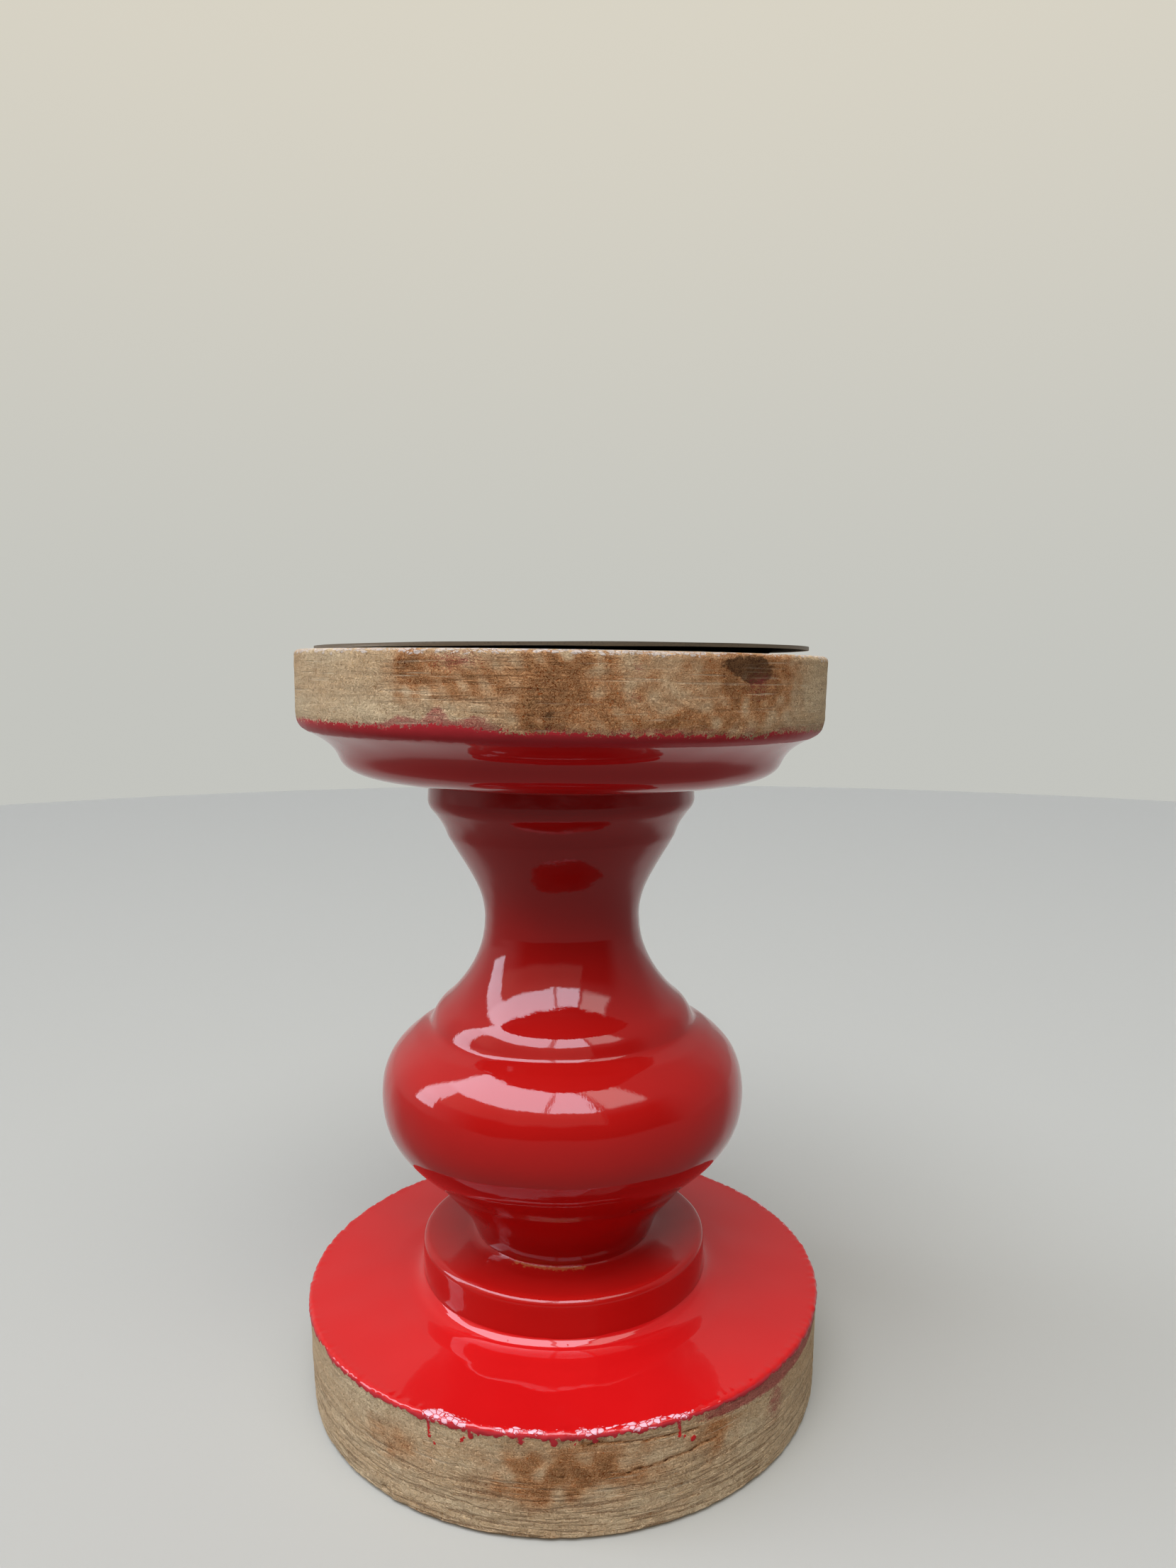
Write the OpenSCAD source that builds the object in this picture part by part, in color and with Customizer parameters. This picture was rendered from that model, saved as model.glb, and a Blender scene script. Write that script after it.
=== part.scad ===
// Turned wooden stand for one pillar candle. A base disc, a baluster stem and a top disc are
// joined by glued spigots and two wood screws. A loose sheet-metal dish drops into the top
// disc and carries the candle, and a felt is let into the underside of the base.
// Lengths are millimetres. +Z is up, and the origin is the centre of the felt's resting face.

/* [Base disc] */
// Diameter of the base disc at its foot
base_foot_d = 115; // [108:0.5:124]
// Diameter of the base disc at its top edge
base_top_d = 116.4; // [110:0.2:126]
// Thickness of the base disc
base_h = 21.7; // [18:0.1:28]

/* [Stem] */
// Height of the stem between the two discs
stem_h = 116.6; // [104:0.2:140]
// Diameter of the collar at the foot of the stem
collar_d = 65.2; // [56:0.2:74]
// Height of the collar
collar_h = 10.2; // [8:0.1:10.5]
// Diameter of the waist between the collar and the bulb
waist_d = 41; // [36:0.5:46]
// Largest diameter of the bulb
bulb_d = 82.3; // [72:0.1:92]
// Diameter of the ring on the bulb's shoulder
ring_d = 58.8; // [52:0.2:64]
// Smallest diameter of the neck
neck_d = 35.1; // [30:0.1:42]
// Diameter of the cap band under the top disc
cap_d = 59.8; // [56:0.2:66]

/* [Top disc] */
// Diameter of the top disc at its raw rim
top_d = 115.6; // [112:0.2:126]
// Thickness of the top disc
top_h = 26.9; // [25:0.1:32]
// Diameter of the flat part of the underside
under_d = 81; // [74:0.5:86]
// How far the hand-fitted top disc leans towards +X, in degrees
top_lean = 1; // [0:0.1:1.2]

/* [Candle dish] */
// Outer diameter of the dish's flat lip
lip_d = 107.4; // [102:0.2:109]
// Diameter of the dish's mouth, inside the lip
mouth_d = 93; // [86:0.5:95]
// Depth of the dish, from the top of its lip to its floor
dish_depth = 7; // [6:0.1:9]
// Thickness of the sheet metal
sheet_t = 0.7; // [0.5:0.1:1]
// Slope of the dish's wall above the horizontal, in degrees
wall_slope = 50; // [45:1:65]
// How far the loose dish rocks up on its screw head towards +X, in degrees
dish_rock = 0.7; // [0:0.1:0.8]

/* [Screws and felt] */
// Outer diameter of the wood screws' thread
screw_d = 5; // [4:0.1:6]
// Length of the wood screws
screw_l = 50; // [40:1:55]
// Diameter of the wood screws' countersunk head
screw_head_d = 9.5; // [9:0.1:11]
// Diameter of the felt under the base
felt_d = 96; // [80:1:100]
// Thickness of the felt
felt_t = 2; // [1.5:0.1:3]
// How far the felt stands out of the base, so that it meets the table first
felt_proud = 0.3; // [0.1:0.1:0.8]

/* [Hidden] */
round_fn = 128;
hole_fn = 48;
overcut = 1;

// Heights of the three turned pieces
base_z = felt_proud;
stem_z = base_z + base_h;
seat_z = stem_z + stem_h;
seat_in = 0.9;
under_z = seat_z - seat_in;

// Heights along the stem, above its foot
waist_z = 0.103 * stem_h;
belly_z = 0.219 * stem_h;
bulb_z = 0.376 * stem_h;
shoulder_z = 0.498 * stem_h;
ring_z = 0.518 * stem_h;
ring_top_z = 0.532 * stem_h;
flare_z = 0.552 * stem_h;
neck_z = 0.719 * stem_h;
groove_z = 0.88 * stem_h;
cap_z = 0.951 * stem_h;

// Base disc
foot_chamfer = 0.6;
base_edge_r = 0.8;
felt_clear = 0.3;

// Glued spigots on both ends of the stem, and their sockets
spigot_d = 20;
spigot_l = 10.8;
socket_l = 11;
glue_gap = 0.1;

// Wood screws
thread_pitch = 2.4;
thread_root_d = 0.68 * screw_d;
thread_crest_share = 0.2;
plain_shank_l = 0.36 * screw_l;
screw_tip_l = 1.1 * screw_d;
head_rim_h = 0.4;
head_cone_h = (screw_head_d - screw_d) / 2;
shank_r = screw_d / 2 - 0.3;
shank_clear = 0.4;
driver_w = 1;
driver_l = 0.58 * screw_head_d;
driver_depth = 1.9;

// The dish hangs with one side of its lip on the wood and its floor on the top screw's head
rest_gap = 0.05;
head_proud = 0.5;
bend_r = 1.5;
recess_clear = 2;
top_edge_r = 1;
dish_rise = sheet_t + rest_gap + lip_d / 2 * sin(dish_rock);
dish_floor_z = top_h + dish_rise - dish_depth - sheet_t;
head_tilt_gap = screw_head_d / 2 * sin(top_lean);
top_screw_z = under_z + dish_floor_z - rest_gap - head_tilt_gap;
recess_z = dish_floor_z - rest_gap - head_proud;
recess_d = mouth_d + 2 * recess_clear;

function mix(a, b, share) = a + (b - a) * share;

// Points of a cubic curve from a to d, without a itself
function curve(a, b, c, d, count = 8) = [
    for (i = [1 : count])
        let (t = i / count, s = 1 - t)
            s * s * s * a + 3 * s * s * t * b + 3 * s * t * t * c + t * t * t * d
];

// Points of an arc of a circle, angles in degrees from +X
function arc(centre, radius, from, to, count = 6) = [
    for (i = [0 : count])
        let (angle = mix(from, to, i / count))
            centre + radius * [cos(angle), sin(angle)]
];

// A corner rounded off between an upright side at r and a level top at z
function round_over(r, z, size) = arc([r - size, z - size], size, 0, 90, 4);

// Stem: radius and height of its outline, above its foot
collar_r = collar_d / 2;
waist_r = waist_d / 2;
bulb_r = bulb_d / 2;
ring_r = ring_d / 2;
neck_r = neck_d / 2;
cap_r = cap_d / 2;
groove_r = 0.855 * cap_r;

function collar_outline() = concat(
    [[collar_r, 0]],
    round_over(collar_r, collar_h, 1.5),
    [[waist_r + 0.8, collar_h]],
    curve([waist_r + 0.8, collar_h], [waist_r - 0.3, collar_h + 0.4],
          [waist_r - 0.2, waist_z - 0.8], [waist_r + 0.4, waist_z], 4)
);

function bulb_outline() = concat(
    curve([waist_r + 0.4, waist_z],
          [mix(waist_r, bulb_r, 0.10), mix(waist_z, belly_z, 0.41)],
          [mix(waist_r, bulb_r, 0.22), mix(waist_z, belly_z, 0.52)],
          [mix(waist_r, bulb_r, 0.46), belly_z]),
    curve([mix(waist_r, bulb_r, 0.46), belly_z],
          [mix(waist_r, bulb_r, 0.73), mix(belly_z, bulb_z, 0.30)],
          [bulb_r, mix(belly_z, bulb_z, 0.49)],
          [bulb_r, bulb_z], 10),
    curve([bulb_r, bulb_z],
          [bulb_r, mix(bulb_z, shoulder_z, 0.57)],
          [mix(ring_r, bulb_r, 0.71), mix(bulb_z, shoulder_z, 0.78)],
          [mix(ring_r, bulb_r, 0.35), shoulder_z], 10)
);

function ring_outline() = concat(
    curve([mix(ring_r, bulb_r, 0.35), shoulder_z],
          [mix(ring_r, bulb_r, 0.22), mix(shoulder_z, ring_z, 0.37)],
          [mix(ring_r, bulb_r, 0.08), mix(shoulder_z, ring_z, 0.62)],
          [mix(ring_r, bulb_r, 0.05), ring_z], 6),
    [[ring_r - 0.15, ring_top_z]],
    curve([ring_r - 0.15, ring_top_z],
          [ring_r - 0.5, mix(ring_top_z, flare_z, 0.3)],
          [ring_r - 1.1, mix(ring_top_z, flare_z, 0.68)],
          [ring_r - 1.9, flare_z], 4)
);

function neck_outline() = concat(
    curve([ring_r - 1.9, flare_z],
          [mix(neck_r, ring_r, 0.38), mix(flare_z, neck_z, 0.23)],
          [neck_r, mix(flare_z, neck_z, 0.58)],
          [neck_r, neck_z], 10),
    curve([neck_r, neck_z],
          [neck_r, mix(neck_z, groove_z, 0.39)],
          [mix(neck_r, groove_r, 0.5), mix(neck_z, groove_z, 0.62)],
          [groove_r, groove_z], 10)
);

function cap_outline() = concat(
    [[groove_r + 0.2, groove_z + 0.5]],
    curve([groove_r + 0.2, groove_z + 0.5],
          [mix(groove_r, cap_r, 0.2), mix(groove_z, cap_z, 0.35)],
          [mix(groove_r, cap_r, 0.6), mix(groove_z, cap_z, 0.6)],
          [mix(groove_r, cap_r, 0.9), mix(groove_z, cap_z, 0.8)], 5),
    curve([mix(groove_r, cap_r, 0.9), mix(groove_z, cap_z, 0.8)],
          [cap_r - 0.1, mix(groove_z, cap_z, 0.88)],
          [cap_r, mix(groove_z, cap_z, 0.93)],
          [cap_r, cap_z], 3),
    [[cap_r - 0.3, stem_h]]
);

// Top disc: radius and height of its moulded underside and rim, above its flat underside
under_r = under_d / 2;
top_r = top_d / 2;

function top_outline() = concat(
    [[0, 0], [under_r, 0]],
    curve([under_r, 0],
          [mix(under_r, top_r, 0.23), 0.02 * top_h],
          [mix(under_r, top_r, 0.41), 0.06 * top_h],
          [mix(under_r, top_r, 0.47), 0.155 * top_h]),
    curve([mix(under_r, top_r, 0.47), 0.155 * top_h],
          [mix(under_r, top_r, 0.54), 0.27 * top_h],
          [mix(under_r, top_r, 0.69), 0.32 * top_h],
          [mix(under_r, top_r, 0.87), 0.38 * top_h]),
    curve([mix(under_r, top_r, 0.87), 0.38 * top_h],
          [mix(under_r, top_r, 0.96), 0.41 * top_h],
          [top_r - 0.4, 0.46 * top_h],
          [top_r - 0.2, 0.54 * top_h], 5),
    round_over(top_r, top_h, top_edge_r),
    [[0, top_h]]
);

// Dish: a sheet of even thickness with its lip's top face at height 0
mouth_r = mouth_d / 2;
lip_bend = [mouth_r, -sheet_t - bend_r];
wall_top = lip_bend + (bend_r + sheet_t) * [-sin(wall_slope), cos(wall_slope)];
floor_bend_z = bend_r - dish_depth;
wall_foot_z = floor_bend_z - bend_r * cos(wall_slope);
wall_foot_r = wall_top.x - (wall_top.y - wall_foot_z) / tan(wall_slope);
floor_bend = [wall_foot_r - bend_r * sin(wall_slope), floor_bend_z];

function dish_outline() = concat(
    [[0, -dish_depth]],
    arc(floor_bend, bend_r, -90, wall_slope - 90),
    arc(lip_bend, bend_r + sheet_t, 90 + wall_slope, 90),
    [[lip_d / 2, 0], [lip_d / 2, -sheet_t]],
    arc(lip_bend, bend_r, 90, 90 + wall_slope),
    arc(floor_bend, bend_r + sheet_t, wall_slope - 90, -90),
    [[0, -dish_depth - sheet_t]]
);

module turned(outline) {
    rotate_extrude($fn = round_fn) polygon(outline);
}

// Round bar along +Z, used for holes, spigots and the felt
module bar(d, from_z, to_z) {
    translate([0, 0, from_z]) cylinder(d = d, h = to_z - from_z, $fn = hole_fn);
}

// Stands its children on the flat underside of the leaning top disc
module on_top_disc() {
    translate([0, 0, under_z]) rotate([0, top_lean, 0]) children();
}

// Countersunk screw along -Z, with the top of its head at height 0
module screw_body() {
    root_r = thread_root_d / 2;
    thread_z = -plain_shank_l - shank_clear;
    turns = floor((thread_z + screw_l - screw_tip_l) / thread_pitch);
    // Each ridge of the thread: its rise from root to crest, and its place in one pitch
    ridge = [[0, 0.3], [1, 0.5], [1, 0.5 + thread_crest_share], [0, 0.9]];
    turned(concat(
        [[0, 0], [screw_head_d / 2, 0], [screw_head_d / 2, -head_rim_h]],
        [[shank_r, -head_rim_h - head_cone_h], [shank_r, -plain_shank_l], [root_r, thread_z]],
        [for (i = [0 : turns - 1], point = ridge)
            [mix(root_r, screw_d / 2, point[0]), thread_z - (i + point[1]) * thread_pitch]],
        [[root_r, -screw_l + screw_tip_l], [0, -screw_l]]
    ));
}

module screw() {
    difference() {
        screw_body();
        for (angle = [0, 90]) rotate([0, 0, angle])
            translate([-driver_l / 2, -driver_w / 2, -driver_depth])
                cube([driver_l, driver_w, driver_depth + overcut]);
    }
}

// Room for the screw's head and shank in the disc that it clamps, down to depth
module screw_way(depth) {
    turned([
        [0, overcut], [screw_head_d / 2, overcut], [screw_head_d / 2, -head_rim_h],
        [screw_d / 2 + glue_gap, -head_rim_h - head_cone_h - shank_clear],
        [screw_d / 2 + glue_gap, -depth], [0, -depth]
    ]);
}

module base_disc() {
    color("burlywood") difference() {
        turned(concat(
            [[0, base_z], [base_foot_d / 2 - foot_chamfer, base_z]],
            [[base_foot_d / 2, base_z + foot_chamfer]],
            round_over(base_top_d / 2, stem_z, base_edge_r),
            [[0, stem_z]]
        ));
        bar(spigot_d + 2 * glue_gap, stem_z - socket_l, stem_z + overcut);
        bar(felt_d + 2 * felt_clear, base_z - overcut, felt_t);
        translate([0, 0, felt_t]) mirror([0, 0, 1]) screw_way(base_h);
    }
}

module stem() {
    color("firebrick") difference() {
        translate([0, 0, stem_z]) union() {
            turned(concat(
                [[0, 0]], collar_outline(), bulb_outline(), ring_outline(), neck_outline(),
                cap_outline(), [[0, stem_h]]
            ));
            bar(spigot_d, -spigot_l, overcut);
            bar(spigot_d, stem_h - overcut, stem_h + spigot_l);
        }
        bar(thread_root_d, stem_z - spigot_l - overcut, felt_t + screw_l + overcut);
        bar(thread_root_d, top_screw_z - screw_l - overcut, seat_z + spigot_l + overcut);
    }
}

module top_disc() {
    color("burlywood") difference() {
        on_top_disc() difference() {
            turned(top_outline());
            bar(recess_d, recess_z, top_h + overcut);
        }
        bar(cap_d + 2 * glue_gap, under_z - overcut, seat_z);
        bar(spigot_d + 2 * glue_gap, seat_z - overcut, seat_z + socket_l);
        translate([0, 0, top_screw_z]) screw_way(top_screw_z - seat_z - overcut);
    }
}

module candle_dish() {
    color("#26231f") on_top_disc()
        translate([0, 0, top_h + dish_rise]) rotate([0, -dish_rock, 0])
            turned(dish_outline());
}

module base_screw() {
    color("silver") translate([0, 0, felt_t]) mirror([0, 0, 1]) screw();
}

module top_screw() {
    color("silver") translate([0, 0, top_screw_z]) screw();
}

module base_felt() {
    color("darkolivegreen") bar(felt_d, 0, felt_t);
}

base_disc();
stem();
top_disc();
candle_dish();
base_screw();
top_screw();
base_felt();
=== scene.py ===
"""Looks of a turned wooden stand for one pillar candle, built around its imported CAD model.

Every turned piece is a fine lathe mesh. Its outline is read from the CAD node that it replaces, and handwork
(uneven enamel, drips, tool marks, dents) is added to it as small offsets. Shapes are worked out in
millimetres and angles in degrees, with azimuth 0 at the front (-Y) and +90 at the right (+X).
"""
import math

import bmesh
import bpy
import numpy as np
from mathutils import Matrix, Vector


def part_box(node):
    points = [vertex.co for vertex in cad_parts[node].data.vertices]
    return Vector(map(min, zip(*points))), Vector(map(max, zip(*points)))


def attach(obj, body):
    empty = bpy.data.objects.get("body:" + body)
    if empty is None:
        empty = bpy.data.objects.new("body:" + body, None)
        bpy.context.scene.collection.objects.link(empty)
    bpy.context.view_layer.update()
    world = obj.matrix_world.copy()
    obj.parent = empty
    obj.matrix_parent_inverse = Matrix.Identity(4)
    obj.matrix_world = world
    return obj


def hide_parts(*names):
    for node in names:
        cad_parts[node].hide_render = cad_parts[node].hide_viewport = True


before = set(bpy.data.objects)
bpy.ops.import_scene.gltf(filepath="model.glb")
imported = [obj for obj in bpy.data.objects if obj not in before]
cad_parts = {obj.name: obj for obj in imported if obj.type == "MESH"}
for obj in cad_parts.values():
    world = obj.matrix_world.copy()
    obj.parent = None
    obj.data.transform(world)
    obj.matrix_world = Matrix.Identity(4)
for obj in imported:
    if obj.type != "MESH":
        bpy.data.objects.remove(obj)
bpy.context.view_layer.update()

MM = 0.001
TAU = 2 * math.pi


# ---------------------------------------------------------------- outlines from the CAD meshes

def mesh_points(node):
    """Vertices of a CAD node in mm."""
    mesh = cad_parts[node].data
    points = np.zeros(len(mesh.vertices) * 3)
    mesh.vertices.foreach_get("co", points)
    return points.reshape(-1, 3) / MM


def spin_axis(node):
    """Centre of a turned node's highest circle, and the direction of its axis."""
    flats = [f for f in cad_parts[node].data.polygons if f.normal.z > 0.999]
    along = np.array(max(flats, key=lambda f: f.center.z).normal)
    along[1] = 0
    along /= np.linalg.norm(along)
    points = mesh_points(node)
    height = points @ along
    ring = points[height > height.max() - 0.01]
    return (ring.max(0) + ring.min(0)) / 2, along


def seam_outline(node):
    """Outline (x, z) in mm of a turned node where its surfaces' seams cross the +X half-plane, in order."""
    points = mesh_points(node)
    key = np.round(points[:, [0, 2]], 3)
    on_seam = (abs(points[:, 1]) < 0.001) & (points[:, 0] > -0.001)
    spots = {}
    for i in np.flatnonzero(on_seam):
        spots.setdefault(tuple(key[i]), len(spots))
    links = {i: set() for i in range(len(spots))}
    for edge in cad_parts[node].data.edges:
        a, b = edge.vertices
        if on_seam[a] and on_seam[b] and tuple(key[a]) != tuple(key[b]):
            i, j = spots[tuple(key[a])], spots[tuple(key[b])]
            links[i].add(j)
            links[j].add(i)
    place = np.array(list(spots))
    join_flats(place, links)
    start = next((i for i in links if len(links[i]) == 1), 0)
    order, seen = [start], {start}
    while True:
        ahead = [j for j in links[order[-1]] if j not in seen]
        if not ahead:
            return place[order]
        order.append(ahead[0])
        seen.add(ahead[0])


def join_flats(place, links, steepest=0.03):
    """Joins the loose ends of an outline across the node's flat faces, which have no seam."""
    loose = [i for i in links if len(links[i]) == 1]
    pairs = []
    for n, i in enumerate(loose):
        for j in loose[n + 1:]:
            run, rise = abs(place[i] - place[j])
            if run > 0.05 and rise < steepest * run + 0.002:
                pairs.append((rise, i, j))
    for _, i, j in sorted(pairs):
        if len(links[i]) == 1 and len(links[j]) == 1:
            links[i].add(j)
            links[j].add(i)


def refine(outline, step, closed, corner=30):
    """Rows along an outline. Its rounded stretches become a smooth curve, its corners stay."""
    spans = np.roll(outline, -1, 0) - outline
    if not closed:
        spans = spans[:-1]
    lengths = np.linalg.norm(spans, axis=1)
    ways = spans / lengths[:, None]
    count = len(spans)

    def heading(i, j, own):
        """Direction of the curve at the point between spans i and j."""
        if not closed and not 0 <= min(i, j) <= max(i, j) < count:
            return ways[own]
        i, j = i % count, j % count
        if ways[i] @ ways[j] < math.cos(math.radians(corner)):
            return ways[own]
        if max(lengths[i], lengths[j]) > 3 * min(lengths[i], lengths[j]):
            return ways[i if lengths[i] > lengths[j] else j]
        both = ways[i] * lengths[j] + ways[j] * lengths[i]
        return both / np.linalg.norm(both)

    rows = []
    for i in range(count):
        start, end = outline[i], outline[(i + 1) % len(outline)]
        leave, arrive = heading(i - 1, i, i), heading(i, i + 1, i)
        parts = max(1, math.ceil(lengths[i] / step(*(start + end) / 2)))
        for t in np.arange(parts) / parts:
            rows.append((2 * t**3 - 3 * t**2 + 1) * start + (t**3 - 2 * t**2 + t) * leave * lengths[i]
                        + (3 * t**2 - 2 * t**3) * end + (t**3 - t**2) * arrive * lengths[i])
    if not closed:
        rows.append(outline[-1])
    return np.array(rows)


# ---------------------------------------------------------------- lathe meshes

def waves(points, length, seed, count=28):
    """Smooth seeded random field over points, about -1 to 1, with features about length across."""
    rng = np.random.default_rng(seed)
    ways = rng.normal(size=(count, 3))
    ways *= (TAU / length * rng.uniform(0.6, 1.4, count) / np.linalg.norm(ways, axis=1))[:, None]
    field = np.zeros(points.shape[:-1])
    for way, phase in zip(ways, rng.uniform(0, TAU, count)):
        field += np.cos(points @ way + phase)
    return field / math.sqrt(count / 2) * 0.7


def ease(value, low, high):
    """Smooth step from 0 at low to 1 at high."""
    t = np.clip((value - low) / (high - low), 0, 1)
    return t * t * (3 - 2 * t)


class Turning:
    """The grid of one turned piece: rows along its outline, and columns round its axis."""

    def __init__(self, node, step, columns, outline=None, closed=True, level_inside=0):
        outline = seam_outline(node) if outline is None else outline
        centre, along = spin_axis(node)
        self.node, self.closed = node, closed
        self.centre, self.lean = centre, math.atan2(along[0], along[2])
        across = np.array([math.cos(self.lean), -math.sin(self.lean)])
        upward = np.array([along[0], along[2]])
        offset = outline - centre[[0, 2]]
        own = np.stack([offset @ across, offset @ upward + centre[2]], axis=1)
        self.level = outline[:, 0] < level_inside
        own[self.level] = outline[self.level]
        if not closed:
            own = np.vstack([[0, own[0, 1]], own, [0, own[-1, 1]]])
        area = np.sum(own[:, 0] * np.roll(own[:, 1], -1) - own[:, 1] * np.roll(own[:, 0], -1))
        if area < 0:
            own = own[::-1]
        rows = refine(own, step, closed)
        self.r, self.z = rows[:, :1], rows[:, 1:]
        self.level = self.r[:, 0] < level_inside
        self.s = np.concatenate([[0], np.cumsum(np.linalg.norm(np.diff(rows, axis=0), axis=1))])[:, None]
        self.az = np.linspace(-180, 180, columns, endpoint=False)
        turn = np.radians(self.az)
        self.out = np.stack([np.sin(turn), -np.cos(turn)], axis=1)
        self.points = self.place(self.r, self.z)
        run = np.roll(rows, -1, 0) - np.roll(rows, 1, 0)
        if not closed:
            run[0], run[-1] = rows[1] - rows[0], rows[-1] - rows[-2]
        run /= np.maximum(np.linalg.norm(run, axis=1, keepdims=True), 1e-9)
        self.facing = np.stack([run[:, 1], -run[:, 0]], axis=1)

    def place(self, r, z):
        """Points of the grid at those radii and heights, in the piece's own upright frame."""
        flat = self.out[None] * (r * np.ones_like(self.az))[..., None]
        return np.concatenate([flat, (z * np.ones_like(self.az))[..., None]], axis=2)

    def waves(self, length, seed):
        return waves(self.points, length, seed)

    def hump(self, centre, width):
        """1 at an azimuth, falling off round the axis."""
        gap = (self.az - centre + 180) % 360 - 180
        return np.exp(-0.5 * (gap / width) ** 2)

    def patch(self, azimuth, height, width, tall):
        """1 at a place on the side, falling off over width and tall in mm."""
        gap = np.radians((self.az - azimuth + 180) % 360 - 180) * self.r
        return np.exp(-0.5 * (gap / width) ** 2 - 0.5 * ((self.z - height) / tall) ** 2)

    def patches(self, *places):
        """Sum of patches, each a strength and then the patch's own values."""
        return sum(strength * self.patch(*place) for strength, *place in places)

    def stroke(self, start, end, radius, along):
        """Signed distance inside a round-ended stroke between (azimuth, along) places on the side."""
        x = np.radians((self.az - start[0] + 180) % 360 - 180) * self.r
        y = along - start[1]
        dx, dy = np.radians(end[0] - start[0]) * self.r, end[1] - start[1]
        t = np.clip((x * dx + y * dy) / np.maximum(dx * dx + dy * dy, 1e-9), 0, 1)
        return radius - np.hypot(x - t * dx, y - t * dy)

    def build(self, name, lift, marks, body, material):
        """Makes the mesh, with its rows moved out by lift mm, and the marks as its vertex attributes."""
        rows, columns = len(self.r), len(self.az)
        lift = lift * np.ones((rows, columns))
        points = self.place(self.r + lift * self.facing[:, :1], self.z + lift * self.facing[:, 1:])
        tilt = np.array(Matrix.Rotation(self.lean, 3, "Y"))
        pivot = np.array([self.centre[0], 0, self.centre[2]])
        leaned = (points - [0, 0, self.centre[2]]) @ tilt.T + pivot
        leaned[self.level] = points[self.level]
        corners = np.arange(rows * columns).reshape(rows, columns)
        lower = corners if self.closed else corners[:-1]
        upper = np.roll(corners, -1, 0) if self.closed else corners[1:]
        faces = np.stack([lower, np.roll(lower, -1, 1), np.roll(upper, -1, 1), upper], axis=2)
        faces = [tuple(dict.fromkeys(f)) for f in faces.reshape(-1, 4).tolist()]
        mesh = bpy.data.meshes.new(name)
        mesh.from_pydata((leaned.reshape(-1, 3) * MM).tolist(), [], faces)
        for mark, value in marks.items():
            layer = mesh.attributes.new(mark, "FLOAT", "POINT")
            layer.data.foreach_set("value", (value * np.ones((rows, columns))).ravel().astype(np.float32))
        self.unwrap(mesh, columns)
        if not self.closed:
            weld_poles(mesh)
        mesh.polygons.foreach_set("use_smooth", [True] * len(mesh.polygons))
        mesh.set_sharp_from_angle(angle=math.radians(38))
        piece = bpy.data.objects.new(name, mesh)
        bpy.context.scene.collection.objects.link(piece)
        mesh.materials.append(material)
        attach(piece, body)
        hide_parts(self.node)
        return piece

    def unwrap(self, mesh, columns):
        """Stores mm round the piece and mm along its outline at each face corner, unbroken at the back."""
        corner = np.zeros(len(mesh.loops), int)
        mesh.loops.foreach_get("vertex_index", corner)
        row, column = corner // columns, corner % columns
        radius = np.maximum(self.r[row, 0], 1)
        first = np.repeat(column[::4], 4)
        wrapped = np.where((first == columns - 1) & (column == 0), columns, column)
        around = (wrapped / columns - 0.5) * TAU * radius
        values = np.stack([around, self.s[row, 0], np.zeros(len(row))], axis=1)
        layer = mesh.attributes.new("turned", "FLOAT_VECTOR", "CORNER")
        layer.data.foreach_set("vector", values.ravel().astype(np.float32))


def weld_poles(mesh):
    """Joins the vertices of an open outline's two end rows, which all lie on the axis."""
    shape = bmesh.new()
    shape.from_mesh(mesh)
    bmesh.ops.remove_doubles(shape, verts=shape.verts, dist=1e-6)
    shape.to_mesh(mesh)
    shape.free()


# ---------------------------------------------------------------- shader nodes

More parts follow.
